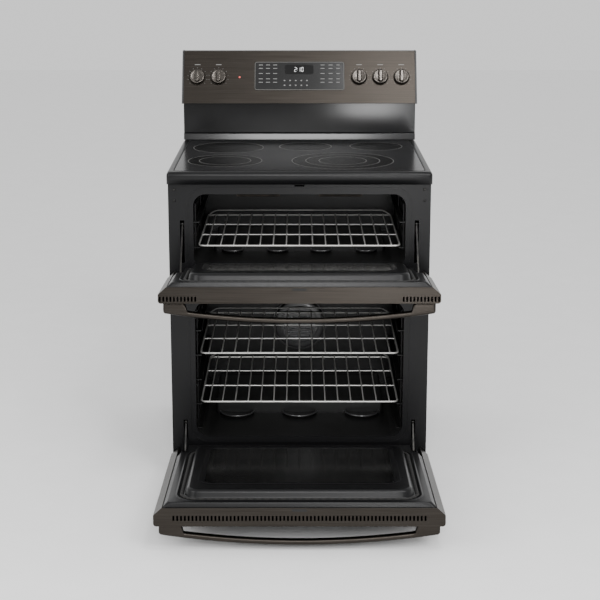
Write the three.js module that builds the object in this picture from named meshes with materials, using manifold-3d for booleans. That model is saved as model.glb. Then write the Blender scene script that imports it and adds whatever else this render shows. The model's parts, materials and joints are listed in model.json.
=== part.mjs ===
// A freestanding electric range with two ovens, a glass cooktop and a control panel at the back.
// Millimetres, +Z up, front towards -Y. Built round the front frame: its front face is y = 0, the floor
// is z = 0 and x = 0 is the middle. Both doors stand open, as the group that holds each one is turned.
import * as THREE from "three";
import { mergeVertices } from "three/addons/utils/BufferGeometryUtils.js";
import Module from "manifold-3d";

const wasm = await Module();
wasm.setup();

// ---------------------------------------------------------------- driving dimensions
const gap = 0.3; // between two pieces that touch
const sheet = 1.5; // folded sheet steel
const cabinet = {
  halfWidth: 375, back: 640, top: 884.7, bottom: 28, front: 50, kickTop: 98, kickRecess: 25,
};
const frameThick = 2;
// side: from an oven's side wall to the cabinet's; behind: from its back wall to the back panel.
const oven = { side: 71, behind: 135, corner: 36 };
oven.halfWidth = cabinet.halfWidth - oven.side;
oven.depth = cabinet.back - oven.behind;
const ovens = {
  upper: { tall: 216, top: cabinet.top - 31.7, shelves: [59, 134] },
  lower: { tall: 413, top: cabinet.kickTop + 439, shelves: [23, 98, 173, 248, 323] },
};
for (const o of Object.values(ovens)) {
  o.bottom = o.top - o.tall;
  o.levels = o.shelves.map((up) => o.bottom + up);
}
const bead = { from: 15, to: 20, rise: 1.5 }; // pressed round each oven mouth, by its distance from it
const door = {
  halfWidth: cabinet.halfWidth + 4.5, rim: 22, liner: 34, shutGap: 4, chamferWide: 22, chamferDeep: 20,
  corner: 8, headStep: 3, plugRise: 21, plugGap: 3, plugSlope: 7,
};
// pivot: from the oven's floor down to the hinge axis; below and above: from that axis to the door's ends.
const doors = {
  upper: {
    pivot: 25.7, below: 16, over: 22.2, outer: 22.5, openAngle: 85,
    slotPitch: 9.5, slotY: -10.4, slotFrom: 279, slotEnd: 5, windowFoot: 20,
  },
  lower: {
    pivot: 52.3, below: 30, over: 40.4, outer: 28, openAngle: 86,
    slotPitch: 9.9, slotY: -6, slotFrom: 0, slotEnd: 44, windowFoot: 28,
  },
};
const slot = { wide: 5, tall: 13.5 }; // vent slots in a door's top edge
const window_ = { sideInset: 49, headInset: 66, corner: 26, thick: 4, rebate: 6 };
const handle = { inset: 11.5, mountWide: 61, fromEnd: 23, tall: 20, endReach: 31, midReach: 60, bar: 16.5 };
const gasket = { from: 2.5, to: 11.5, rise: 3.5 };
const hinge = {
  plateInset: 32.5, plateThick: 4, pin: 4, pinInset: 7.5, tall: 14, bossRadius: 8, bossInset: 15.5,
};
const stay = { inset: 43.5, thick: 5, wide: 6, pivotY: 14, pin: 3, slotWide: 12, room: 11 };
stay.x = door.halfWidth - stay.inset;
// up: from the oven's floor to the stay's pivot; slotDown, slotUp: the reach of its slot from that pivot.
const stays = {
  upper: { up: 127, length: 158, openLean: 38, slotDown: 112, slotUp: 13, notch: 82 },
  lower: { up: 41, length: 88, openLean: 30, slotDown: 62, slotUp: 11, notch: 52 },
};
for (const which of ["upper", "lower"]) {
  const o = ovens[which];
  const d = doors[which];
  d.pivotZ = o.bottom - d.pivot;
  d.above = o.top + d.over - d.pivotZ;
  stays[which].pivotZ = o.bottom + stays[which].up;
}
const rack = {
  railInset: 12.5, front: 29.5, backGap: 31.5, bars: 4, wirePitch: 38, rail: 2.6, wire: 2, ledge: 22,
};
rack.halfWidth = oven.halfWidth - rack.railInset;
rack.barPitch = (oven.depth - rack.backGap - rack.front) / (rack.bars - 1);
rack.wires = 2 * Math.floor(rack.halfWidth / rack.wirePitch) + 1;
const cooktop = { overhang: 2, front: -25, backInset: 35, height: 36, wall: 3, corner: 8 };
cooktop.halfWidth = cabinet.halfWidth + cooktop.overhang;
cooktop.back = cabinet.back - cooktop.backInset;
cooktop.top = cabinet.top + gap + cooktop.height;
const glass = { border: 21, frontBorder: 25, backBorder: 15, thick: 4, corner: 10 };
glass.front = cooktop.front + glass.frontBorder;
glass.halfWidth = cooktop.halfWidth - glass.border;
glass.back = cooktop.back - glass.backBorder;
// Each heater's place on the glass and its radius.
const elements = {
  element_front_left: [-220, glass.front + 178, 109],
  element_rear_left: [-222, glass.back - 160, 109],
  element_rear_centre: [19, glass.back - 140, 82],
  element_rear_right: [241, glass.back - 133, 82],
  element_front_right: [128, glass.front + 178, 150],
};
const elementHeight = 28;
const guard = { behind: 15, wall: 2, capOver: 1.5, capWide: 5.2 };
guard.back = cabinet.back + guard.behind;
guard.capOuter = cabinet.halfWidth + guard.capOver;
guard.capInner = guard.capOuter - guard.capWide;
guard.foot = { y: guard.back - 104, z: cooktop.top + 123.7 };
guard.head = { y: guard.back - 33, z: cooktop.top + 284.7 };
const fascia = { thick: 1.6, knobHeight: 87.3 };
const display = { halfWidth: 144, bottom: 44, top: 139, corner: 7, proud: 0.8 };
const knob = { fromEnd: [43.8, 111.8, 179.8], radius: 25.5, shaft: 4, bore: 5, reach: 24 };
const [outermost, middle, innermost] = knob.fromEnd.map((inset) => guard.capInner - inset);
knob.places = [-outermost, -middle, innermost, middle, outermost];
const lamp = { x: -192, radius: 3 };
const splash = { thick: 3, stepTall: 20, stepDeep: 12 };
const fan = {
  up: 206, cover: 87, coverDeep: 22, rotor: 60, rotorDeep: 13, blades: 8, shaft: 4, motor: 38, motorDeep: 52,
};
fan.z = ovens.lower.bottom + fan.up;
const broil = { wire: 4, below: 20, runs: [-180, -60, 60, 180], front: 90, backGap: 15 };
broil.back = oven.depth - broil.backGap;
const foot = { radius: 15, thick: 10, stem: 5, inset: 40, front: 90, backInset: 30 };
foot.back = cabinet.back - foot.backInset;

// ---------------------------------------------------------------- solids
const rad = THREE.MathUtils.degToRad;

function solid(geometry) {
  const bare = geometry.index ? geometry.toNonIndexed() : geometry.clone();
  bare.deleteAttribute("normal");
  bare.deleteAttribute("uv");
  const merged = mergeVertices(bare, 1e-4);
  return new wasm.Manifold(new wasm.Mesh({
    numProp: 3,
    vertProperties: new Float32Array(merged.attributes.position.array),
    triVerts: new Uint32Array(merged.index.array),
  }));
}

function geometryOf(body) {
  const mesh = body.getMesh();
  return new THREE.BufferGeometry()
    .setAttribute("position", new THREE.BufferAttribute(new Float32Array(mesh.vertProperties), 3))
    .setIndex(new THREE.BufferAttribute(new Uint32Array(mesh.triVerts), 1));
}

const join = (bodies) => bodies.reduce((a, b) => a.add(b));
const cut = (body, tools) => tools.reduce((a, b) => a.subtract(b), body);

function box(x0, x1, y0, y1, z0, z1) {
  const g = new THREE.BoxGeometry(Math.abs(x1 - x0), y1 - y0, z1 - z0);
  return solid(g.translate((x0 + x1) / 2, (y0 + y1) / 2, (z0 + z1) / 2));
}

// Both sides of the middle: the same box at +x and at -x.
const boxes = (x0, x1, y0, y1, z0, z1) => [box(x0, x1, y0, y1, z0, z1), box(-x1, -x0, y0, y1, z0, z1)];

function rod(from, to, radius, sides = 6) {
  const a = new THREE.Vector3(...from);
  const b = new THREE.Vector3(...to);
  const along = b.clone().sub(a);
  const g = new THREE.CylinderGeometry(radius, radius, along.length(), sides);
  const up = new THREE.Vector3(0, 1, 0);
  g.applyQuaternion(new THREE.Quaternion().setFromUnitVectors(up, along.normalize()));
  const middle = a.add(b).multiplyScalar(0.5);
  return solid(g.translate(middle.x, middle.y, middle.z));
}

function roundedRect(x0, x1, y0, y1, r) {
  const s = new THREE.Shape();
  s.moveTo(x0 + r, y0);
  s.absarc(x1 - r, y0 + r, r, -Math.PI / 2, 0, false);
  s.absarc(x1 - r, y1 - r, r, 0, Math.PI / 2, false);
  s.absarc(x0 + r, y1 - r, r, Math.PI / 2, Math.PI, false);
  s.absarc(x0 + r, y0 + r, r, Math.PI, Math.PI * 1.5, false);
  return s;
}

function extrude(shape, depth, curveSegments = 5) {
  return new THREE.ExtrudeGeometry(shape, { depth, bevelEnabled: false, curveSegments });
}

// A shape drawn in (x, z), standing from y0 to y1.
const alongY = (shape, y0, y1, segments) =>
  solid(extrude(shape, y1 - y0, segments).rotateX(Math.PI / 2).translate(0, y1, 0));

// A shape drawn in (x, y), standing from z0 to z1.
const alongZ = (shape, z0, z1, segments) => solid(extrude(shape, z1 - z0, segments).translate(0, 0, z0));

// An outline of [y, z] points, standing from x0 to x1.
function alongX(points, x0, x1) {
  const shape = new THREE.Shape(points.map(([y, z]) => new THREE.Vector2(y, z)));
  const m = new THREE.Matrix4().makeBasis(
    new THREE.Vector3(0, 1, 0), new THREE.Vector3(0, 0, 1), new THREE.Vector3(1, 0, 0));
  return solid(extrude(shape, x1 - x0).applyMatrix4(m).translate(x0, 0, 0));
}

// A [radius, height] profile turned about +Z.
const lathe = (profile, segments = 24) =>
  solid(new THREE.LatheGeometry(profile.map(([r, z]) => new THREE.Vector2(r, z)), segments)
    .applyMatrix4(new THREE.Matrix4().makeRotationX(Math.PI / 2)));

const mouth = (o, grow, y0, y1) =>
  alongY(roundedRect(-oven.halfWidth - grow, oven.halfWidth + grow, o.bottom - grow, o.top + grow,
    oven.corner + grow), y0, y1);

// ---------------------------------------------------------------- materials and nodes
const finishes = {
  black_stainless: { color: 0x4a4643, roughness: 0.32, metalness: 0.9 },
  porcelain: { color: 0x232425, roughness: 0.22, metalness: 0.0 },
  painted_steel: { color: 0x2b2b2c, roughness: 0.5, metalness: 0.2 },
  black_glass: { color: 0x101112, roughness: 0.06, metalness: 0.0 },
  chrome_wire: { color: 0xb9bab8, roughness: 0.25, metalness: 1.0 },
  zinc_steel: { color: 0x9a9c9d, roughness: 0.45, metalness: 0.9 },
  gasket: { color: 0x0c0c0c, roughness: 0.95, metalness: 0.0 },
  black_plastic: { color: 0x18181a, roughness: 0.45, metalness: 0.0 },
  lamp_red: { color: 0xd0342c, roughness: 0.3, metalness: 0.0 },
  heater: { color: 0x3a3532, roughness: 0.6, metalness: 0.6 },
};
const materials = Object.fromEntries(
  Object.entries(finishes).map(([name, f]) => [name, new THREE.MeshStandardMaterial({ name, ...f })]));

const range = new THREE.Group();

function node(name, finish, body, parent = range) {
  const mesh = new THREE.Mesh(geometryOf(body), materials[finish]);
  mesh.name = name;
  parent.add(mesh);
  return mesh;
}

// ---------------------------------------------------------------- cabinet
function sidePanel(side) {
  const outline = [
    [frameThick + gap, cabinet.front], [cabinet.kickRecess, cabinet.front],
    [cabinet.kickRecess, cabinet.bottom], [cabinet.back, cabinet.bottom],
    [cabinet.back, cabinet.top], [frameThick + gap, cabinet.top],
  ];
  const outside = side * cabinet.halfWidth;
  const inside = side * (cabinet.halfWidth - sheet);
  return alongX(outline, Math.min(inside, outside), Math.max(inside, outside));
}

function frontFrame() {
  const plate = box(-cabinet.halfWidth, cabinet.halfWidth, 0, frameThick, cabinet.front, cabinet.top);
  const beads = Object.values(ovens).map((o) => mouth(o, bead.to, -bead.rise, 0.5).subtract(
    mouth(o, bead.from, -bead.rise - 1, 1)));
  const ears = [];
  const slots = [];
  for (const s of Object.values(stays)) {
    for (const side of [-1, 1]) {
      const x = side * stay.x;
      const half = stay.slotWide / 2;
      slots.push(box(x - half, x + half, -1, frameThick + 1, s.pivotZ - s.slotDown, s.pivotZ + s.slotUp));
      for (const edge of [-1, 1]) {
        const ear = x + edge * (half + 1);
        ears.push(box(ear - 1, ear + 1, 1, stay.pivotY + 8, s.pivotZ - 10, s.pivotZ + 10));
      }
      const pin = half + 1;
      ears.push(rod([x - pin, stay.pivotY, s.pivotZ], [x + pin, stay.pivotY, s.pivotZ], stay.pin, 10));
    }
  }
  const mouths = Object.values(ovens).map((o) => mouth(o, 0, -5, frameThick + 5));
  const latches = Object.values(ovens).map((o) => box(-14, 14, -1, frameThick + 1, o.top + 22, o.top + 27));
  return join([cut(join([plate, ...beads]), [...slots, ...mouths, ...latches]), ...ears]);
}

function backPanel() {
  const y = cabinet.back + gap;
  const plate = box(-cabinet.halfWidth, cabinet.halfWidth, y, y + sheet, cabinet.bottom, cabinet.top);
  const vents = [];
  for (let row = 0; row < 4; row++) {
    const z = cabinet.top - 125 + row * 16;
    vents.push(...boxes(60, 220, y - 1, y + 3, z, z + 6));
  }
  return cut(plate, vents);
}

function baseFrame() {
  const x = cabinet.halfWidth - sheet - gap;
  const y0 = 60;
  const y1 = cabinet.back - gap;
  const top = cabinet.kickTop - gap;
  const tray = box(-x, x, y0, y1, cabinet.bottom, top).subtract(
    box(-x + sheet, x - sheet, y0 + sheet, y1 - sheet, cabinet.bottom - 1, top - sheet));
  const pad = (from, to) => boxes(x - 2 * foot.inset, x - 0.5, from, to, cabinet.bottom, cabinet.bottom + 2);
  // The front pads reach back to the kick plate and the rear ones to the back wall of the tray.
  const pads = [...pad(y0 + 0.5, foot.front + foot.inset / 2), ...pad(foot.back - foot.inset / 2, y1 - 0.5)];
  const holes = [];
  for (const y of [foot.front, foot.back]) {
    for (const side of [-1, 1]) {
      const at = side * (x - foot.inset);
      holes.push(rod([at, y, cabinet.bottom - 1], [at, y, cabinet.bottom + 3], foot.stem + 0.5, 12));
    }
  }
  return cut(join([tray, ...pads]), holes);
}

function levelingFoot(side, y) {
  const x = side * (cabinet.halfWidth - sheet - gap - foot.inset);
  return join([
    rod([x, y, 0], [x, y, foot.thick], foot.radius, 16),
    rod([x, y, foot.thick - 1], [x, y, cabinet.bottom + 20], foot.stem, 10),
  ]);
}

for (const [side, word] of [[-1, "left"], [1, "right"]]) {
  node(`side_panel_${word}`, "painted_steel", sidePanel(side));
}
node("front_frame", "porcelain", frontFrame());
node("back_panel", "zinc_steel", backPanel());
node("base_frame", "black_plastic", baseFrame());
for (const [side, word] of [[-1, "left"], [1, "right"]]) {
  node(`foot_front_${word}`, "zinc_steel", levelingFoot(side, foot.front));
  node(`foot_rear_${word}`, "zinc_steel", levelingFoot(side, foot.back));
}
node("terminal_cover", "zinc_steel",
  box(-50, 50, cabinet.back + gap + sheet + gap, guard.back - 0.5, 170, 260).subtract(
    box(-15, 15, cabinet.back + 4, guard.back - 3, 160, 190)));

// ---------------------------------------------------------------- ovens
function cavity(o, shaftHole) {
  const y0 = frameThick + gap;
  const shell = mouth(o, sheet, y0, oven.depth + sheet);
  const flange = mouth(o, 12, y0, y0 + sheet);
  const ledges = o.levels.flatMap((z) => {
    const top = z - rack.rail - gap;
    return boxes(oven.halfWidth - 16, oven.halfWidth + 0.5, rack.ledge, oven.depth - 15, top - 3, top);
  });
  const tub = join([shell, flange]).subtract(mouth(o, 0, y0 - 1, oven.depth));
  return cut(join([tub, ...ledges]), shaftHole);
}

// The raised cover over the hidden bottom heater, with half-round scoops along its front.
function floorCover(o, tall, deep, scoops, radius) {
  const floor = o.bottom + gap;
  const half = oven.halfWidth - 45;
  const back = oven.depth - 8;
  const front = back - deep;
  const lid = box(-half, half, front, back, floor, floor + tall).subtract(
    box(-half + 2, half - 2, front + 2, back - 2, floor - 1, floor + tall - 2));
  const behind = box(-half, half, front + 1, back, floor - 1, floor + tall);
  const moons = scoops.map((x) => rod([x, front, floor], [x, front, floor + 6], radius, 24)
    .subtract(rod([x, front, floor + 1.5], [x, front, floor + 7], radius - 4, 24)).subtract(behind));
  return join([lid, ...moons]);
}

function rackFrame(z) {
  const bars = [];
  const y1 = rack.front + rack.barPitch * (rack.bars - 1);
  for (const side of [-1, 1]) {
    const x = side * rack.halfWidth;
    bars.push(rod([x, rack.front, z], [x, y1, z], rack.rail));
  }
  for (let i = 0; i < rack.bars; i++) {
    const y = rack.front + i * rack.barPitch;
    bars.push(rod([-rack.halfWidth, y, z], [rack.halfWidth, y, z], i === 0 ? rack.rail : rack.wire));
  }
  const top = z + rack.rail + rack.wire - 1.2;
  const reach = (rack.wires - 1) / 2;
  for (let i = -reach; i <= reach; i++) {
    const x = i * rack.wirePitch;
    bars.push(rod([x, rack.front - 1, top], [x, y1 + 1, top], rack.wire, 5));
  }
  const lift = z + 16;
  const stop = rack.halfWidth - 24;
  bars.push(rod([-stop, y1, lift], [stop, y1, lift], rack.wire));
  for (const side of [-1, 1]) {
    bars.push(rod([side * stop, y1, lift], [side * rack.halfWidth, y1, z], rack.wire));
  }
  return join(bars);
}

function broilElement(o) {
  const z = o.top - broil.below;
  const parts = broil.runs.map((x) => rod([x, broil.front, z], [x, broil.back, z], broil.wire, 8));
  broil.runs.slice(1).forEach((x, i) => {
    const y = i % 2 ? broil.back : broil.front;
    parts.push(rod([broil.runs[i], y, z], [x, y, z], broil.wire, 8));
  });
  for (const x of [broil.runs[0], broil.runs.at(-1)]) {
    parts.push(rod([x, broil.back - 1, z], [x, oven.depth - gap, z], broil.wire, 8));
  }
  return join(parts);
}

const shaftBore = rod([0, oven.depth - 5, fan.z], [0, oven.depth + 5, fan.z], fan.shaft + 4, 12);
node("upper_oven_cavity", "porcelain", cavity(ovens.upper, []));
node("lower_oven_cavity", "porcelain", cavity(ovens.lower, [shaftBore]));
node("upper_floor_cover", "porcelain", floorCover(ovens.upper, 18, 280, [-203, -67, 67, 203], 31));
node("lower_floor_cover", "porcelain", floorCover(ovens.lower, 36, 287, [-193, 0, 193], 52));
node("upper_rack", "chrome_wire", rackFrame(ovens.upper.levels[0]));
node("lower_rack_high", "chrome_wire", rackFrame(ovens.lower.levels[3]));
node("lower_rack_low", "chrome_wire", rackFrame(ovens.lower.levels[1]));
node("upper_broil_element", "heater", broilElement(ovens.upper));
node("lower_broil_element", "heater", broilElement(ovens.lower));

// ---------------------------------------------------------------- convection fan
const turned = (body, y) => solid(geometryOf(body).rotateX(-Math.PI / 2).translate(0, y, fan.z));

function fanCover() {
  const r = fan.cover;
  const wall = 1.5;
  const cup = lathe([
    [0, 0], [r - 16, 0], [r - 6, 4], [r, fan.coverDeep], [r - wall, fan.coverDeep],
    [r - 6 - wall, 4 + wall], [r - 16 - wall, wall], [0, wall],
  ], 28);
  const slots = [];
  for (let row = -3; row <= 3; row++) {
    const half = Math.sqrt(50 ** 2 - (row * 13) ** 2);
    for (const side of [-1, 1]) {
      slots.push(box(side * 4, side * half, row * 13 - 3, row * 13 + 3, -5, 5));
    }
  }
  return turned(cut(cup, slots), oven.depth - gap - fan.coverDeep);
}

function fanRotor() {
  const hub = rod([0, 0, 0], [0, 0, fan.rotorDeep], 12, 16);
  const disc = rod([0, 0, fan.rotorDeep - 2], [0, 0, fan.rotorDeep], fan.rotor, 28);
  const blades = [];
  for (let i = 0; i < fan.blades; i++) {
    const blade = box(22, fan.rotor - 2, -1, 1, 0, fan.rotorDeep - 1);
    blades.push(blade.rotate([0, 0, (360 / fan.blades) * i]));
  }
  const shaft = rod([0, 0, 1], [0, 0, fan.rotorDeep + 15], fan.shaft, 12);
  return join([hub, disc, ...blades, shaft]);
}

const rotorFront = oven.depth - fan.rotorDeep - 6;
const motorFront = oven.depth + sheet + gap;
node("convection_cover", "porcelain", fanCover());
node("convection_fan", "zinc_steel", turned(fanRotor(), rotorFront));
node("fan_motor", "zinc_steel", turned(
  rod([0, 0, 0], [0, 0, fan.motorDeep], fan.motor, 20).subtract(
    rod([0, 0, -1], [0, 0, 12], fan.shaft + 0.5, 12)),
  motorFront));

// ---------------------------------------------------------------- cooktop
function cooktopFrame() {
  const z0 = cooktop.top - cooktop.height;
  const plan = (inset, r) => roundedRect(-cooktop.halfWidth + inset, cooktop.halfWidth - inset,
    cooktop.front + inset, cooktop.back - inset, r);
  const outer = alongZ(plan(0, cooktop.corner), z0 + gap, cooktop.top);
  const hollow = alongZ(plan(cooktop.wall, cooktop.corner - cooktop.wall), z0 - 1,
    cooktop.top - glass.thick - 3);
  const opening = (grow, y0, y1, r) =>
    roundedRect(-glass.halfWidth - grow, glass.halfWidth + grow, y0, y1, r);
  const seat = alongZ(opening(gap, glass.front - gap, glass.back + gap, glass.corner),
    cooktop.top - glass.thick - gap, cooktop.top + 1);
  const through = alongZ(opening(-12, glass.front + 1, glass.back - 12, 4), z0 - 1, cooktop.top + 1);
  return cut(outer, [hollow, seat, through]);
}

function heatingElement([x, y, r]) {
  const z1 = cooktop.top - glass.thick - gap - 1;
  const z0 = z1 - elementHeight;
  return rod([x, y, z0], [x, y, z1], r, 24).subtract(rod([x, y, z0 + 12], [x, y, z1 + 1], r - 4, 24));
}

node("cooktop_frame", "porcelain", cooktopFrame());
node("cooktop_glass", "black_glass", alongZ(
  roundedRect(-glass.halfWidth, glass.halfWidth, glass.front, glass.back, glass.corner),
  cooktop.top - glass.thick, cooktop.top));
for (const [name, place] of Object.entries(elements)) node(name, "heater", heatingElement(place));

// ---------------------------------------------------------------- backguard and controls
const slope = new THREE.Vector2(guard.head.y - guard.foot.y, guard.head.z - guard.foot.z);
const faceLength = slope.length();
const lean = Math.atan2(slope.x, slope.y);
const set = fascia.thick + gap;
const seatFoot = [guard.foot.y + set * Math.cos(lean), guard.foot.z - set * Math.sin(lean)];
const seatHead = [guard.head.y + set * Math.cos(lean), guard.head.z - set * Math.sin(lean)];
const capBottom = seatFoot[1] - 1;
const splashFront = cooktop.back - splash.thick;

function housing() {
  const front = cooktop.back + gap;
  const z0 = cabinet.top + gap;
  const outline = [
    [front, z0], [guard.back, z0], [guard.back, seatHead[1]], seatHead, seatFoot, [front, seatFoot[1]],
  ];
  const w = guard.wall;
  const inner = [
    [front + w, z0 + w], [guard.back - w, z0 + w], [guard.back - w, seatHead[1] - w],
    [seatHead[0] + w, seatHead[1] - w], [seatFoot[0] + 3 * w, seatFoot[1] + w], [front + w, seatFoot[1] + w],
  ];
  const cap = [
    [guard.foot.y, guard.foot.z], [guard.foot.y + 3, capBottom], [guard.back, capBottom],
    [guard.back, guard.head.z], [guard.head.y, guard.head.z],
  ];
  const body = join([
    alongX(outline, -guard.capInner, guard.capInner),
    alongX(cap, -guard.capOuter, -guard.capInner + 0.01),
    alongX(cap, guard.capInner - 0.01, guard.capOuter),
  ]);
  const vents = [];
  for (let row = 0; row < 3; row++) {
    const z = guard.foot.z + 45 + row * 14;
    vents.push(...boxes(40, 180, guard.back - 5, guard.back + 5, z, z + 6));
  }
  return cut(body, [alongX(inner, -guard.capInner + w, guard.capInner - w), ...vents]);
}

function backsplash() {
  const half = cabinet.halfWidth - gap;
  const z0 = cooktop.top + gap;
  return alongX([
    [splashFront - splash.stepDeep, z0], [cooktop.back, z0], [cooktop.back, capBottom - gap],
    [splashFront, capBottom - gap], [splashFront, z0 + splash.stepTall + 4],
    [splashFront - splash.stepDeep + 4, z0 + splash.stepTall],
  ], -half, half);
}

// The control face lies in a group of its own: local z runs up the slope and local -y points out of it.
const face = new THREE.Group();
face.position.set(0, guard.foot.y, guard.foot.z);
face.rotation.x = -lean;
range.add(face);

function fasciaPanel() {
  const plate = box(-guard.capInner + gap, guard.capInner - gap, 0, fascia.thick, 0, faceLength);
  const seat = alongY(roundedRect(-display.halfWidth - gap, display.halfWidth + gap, display.bottom - gap,
    display.top + gap, display.corner), -1, fascia.thick + 1);
  const bore = (x, r) => rod([x, -1, fascia.knobHeight], [x, fascia.thick + 1, fascia.knobHeight], r, 12);
  return cut(plate, [seat, ...knob.places.map((x) => bore(x, knob.bore)), bore(lamp.x, lamp.radius + gap)]);
}

function controlKnob(x) {
  const r = knob.radius;
  const skirt = lathe([[0, 1], [r, 1], [r, 4], [r - 3, 12], [r - 6, 15], [0, 15]], 24);
  const grip = box(-7, 7, -r + 5, r - 5, 14, knob.reach);
  const shaft = rod([0, 0, gap - fascia.thick], [0, 0, 2], knob.shaft, 12);
  const g = geometryOf(join([skirt, grip, shaft]));
  return solid(g.rotateX(Math.PI / 2).translate(x, 0, fascia.knobHeight));
}

node("backguard_housing", "black_plastic", housing());
node("backsplash_panel", "porcelain", backsplash());
node("control_fascia", "black_stainless", fasciaPanel(), face);
node("display_panel", "black_glass", alongY(
  roundedRect(-display.halfWidth, display.halfWidth, display.bottom, display.top, display.corner),
  -display.proud, fascia.thick), face);
knob.places.forEach((x, i) => node(`knob_${i + 1}`, "black_stainless", controlKnob(x), face));
node("indicator_lamp", "lamp_red",
  rod([lamp.x, -1, fascia.knobHeight], [lamp.x, fascia.thick, fascia.knobHeight], lamp.radius, 12), face);

// ---------------------------------------------------------------- doors
// A door is drawn shut, in a group whose origin is its hinge axis, and the group is turned to open it.
const hingeY = -(door.shutGap + door.liner);

function skin(d) {
  const x = door.halfWidth;
  const edge = door.rim;
  const outline = (inset, open) => {
    const s = new THREE.Shape();
    const r = door.corner - inset;
    const top = x - door.chamferWide - inset;
    s.moveTo(-top, edge - (open ? -1 : 0));
    s.lineTo(-top, edge - inset * 1.4);
    s.lineTo(-x + inset, edge - door.chamferDeep - inset * 0.4);
    s.absarc(-x + inset + r, -d.outer + inset + r, r, Math.PI, Math.PI * 1.5, false);
    s.absarc(x - inset - r, -d.outer + inset + r, r, Math.PI * 1.5, Math.PI * 2, false);
    s.lineTo(x - inset, edge - door.chamferDeep - inset * 0.4);
    s.lineTo(top, edge - inset * 1.4);
    s.lineTo(top, edge - (open ? -1 : 0));
    return s;
  };
  const outer = alongZ(outline(0, false), -d.below, d.above, 3);
  const inner = alongZ(outline(sheet, true), -d.below + sheet, d.above - sheet, 3);
  const vents = [];
  for (let at = d.slotFrom; at < x - d.slotEnd; at += d.slotPitch) {
    for (const side of at ? [-1, 1] : [1]) {
      const half = slot.wide / 2;
      vents.push(box(side * at - half, side * at + half, d.slotY - slot.tall / 2, d.slotY + slot.tall / 2,
        d.above - 5, d.above + 1));
    }
  }
  const notches = boxes(stay.x - stay.room, x - door.chamferWide - 3, -hinge.tall, edge + 5,
    -d.below - 1, -d.below + sheet + 1);
  const onAxis = (from, to, r) => [-1, 1].map((side) => rod([side * from, 0, 0], [side * to, 0, 0], r, 14));
  const bosses = join(onAxis(x - hinge.bossInset, x - 0.5, hinge.bossRadius)).intersect(outer);
  const holes = onAxis(x - hinge.bossInset - 1, x - hinge.pinInset + 2, hinge.pin + gap);
  return cut(join([cut(outer, [inner, ...vents, ...notches]), bosses]), holes);
}

// The door's own copy of the oven mouth, grown by so much, in the door's frame.
const doorMouth = (o, d, grow, y0, y1) => mouth(o, grow, y0, y1).translate([0, 0, -d.pivotZ]);

function plug(o, d, grow, rise) {
  const lo = o.bottom - d.pivotZ + door.plugGap;
  const hi = o.top - d.pivotZ - door.plugGap;
  const x = oven.halfWidth - door.plugGap;
  const steps = 3;
  const layers = [];
  for (let i = 0; i < steps; i++) {
    const inset = (door.plugSlope * (i + 0.5)) / steps - grow;
    layers.push(alongY(roundedRect(-x + inset, x - inset, lo + inset, hi - inset, oven.corner - inset),
      door.liner - 1 + (i ? (rise * i) / steps : 0), door.liner + (rise * (i + 1)) / steps, 4));
  }
  return join(layers);
}

function windowShape(o, d, grow) {
  const x = oven.halfWidth - window_.sideInset + grow;
  const sill = o.bottom - d.pivotZ + d.windowFoot;
  const head = o.top - d.pivotZ - window_.headInset;
  return roundedRect(-x, x, sill - grow, head + grow, window_.corner + grow);
}

function liner(o, d, s) {
  const half = door.halfWidth - door.chamferWide - 3;
  const step = door.liner - door.rim;
  const low = -d.below + 4;
  const high = d.above - 6;
  const pan = (inset, headInset, y0, y1) =>
    box(-half + inset, half - inset, y0, y1, low + inset, high - headInset);
  const tray = pan(0, 0, door.rim - 8, door.rim).add(pan(step, door.headStep, door.rim - 1, door.liner));
  const under = pan(sheet, sheet, door.rim - 10, door.rim - sheet).add(
    pan(step + sheet, door.headStep + sheet, door.rim - 3, door.liner - sheet));
  const hollow = plug(o, d, -sheet, door.plugRise - sheet);
  const hole = alongY(windowShape(o, d, 0), 0, 60, 4);
  const notches = boxes(stay.x - stay.room, half + 5, 0, door.liner + 5, -d.below - 1, s.notch);
  return cut(join([tray, plug(o, d, 0, door.plugRise)]), [under, hollow, hole, ...notches]);
}

function windowGlass(o, d) {
  const y1 = door.liner + door.plugRise - sheet - gap;
  return alongY(windowShape(o, d, window_.rebate), y1 - window_.thick, y1, 4);
}

// A bow of even thickness between two broad mounts.
function handleBar(d) {
  const end = door.halfWidth - handle.inset;
  const mount = end - handle.mountWide;
  const face = -d.outer - gap;
  const reach = (x) => handle.midReach - (handle.midReach - handle.endReach) * (x / end) ** 2;
  const arc = (from, to, less) => Array.from({ length: 17 }, (_, i) => {
    const x = from + ((to - from) * i) / 16;
    return new THREE.Vector2(x, face - reach(x) + less);
  });
  const shape = new THREE.Shape([
    new THREE.Vector2(-end, face),
    ...arc(-end, end, 0),
    new THREE.Vector2(end, face),
    new THREE.Vector2(mount, face),
    ...arc(mount - 4, -mount + 4, handle.bar),
    new THREE.Vector2(-mount, face),
  ]);
  return alongZ(shape, d.above - handle.fromEnd - handle.tall, d.above - handle.fromEnd);
}

function outerGlass(d) {
  const y = -d.outer - gap;
  const half = oven.halfWidth - 40;
  return alongY(roundedRect(-half, half, 44, d.above - 78, 8), y - 2, y);
}

function hingeBracket(d, side) {
  const x0 = side * (door.halfWidth - hinge.plateInset);
  const x1 = x0 + side * hinge.plateThick;
  const end = side * (door.halfWidth - hinge.pinInset);
  const plate = box(Math.min(x0, x1), Math.max(x0, x1), hingeY - hinge.tall / 2, -gap,
    d.pivotZ - hinge.tall / 2, d.pivotZ + hinge.tall / 2);
  return join([plate, rod([x0, hingeY, d.pivotZ], [end, hingeY, d.pivotZ], hinge.pin, 14)]);
}

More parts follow.
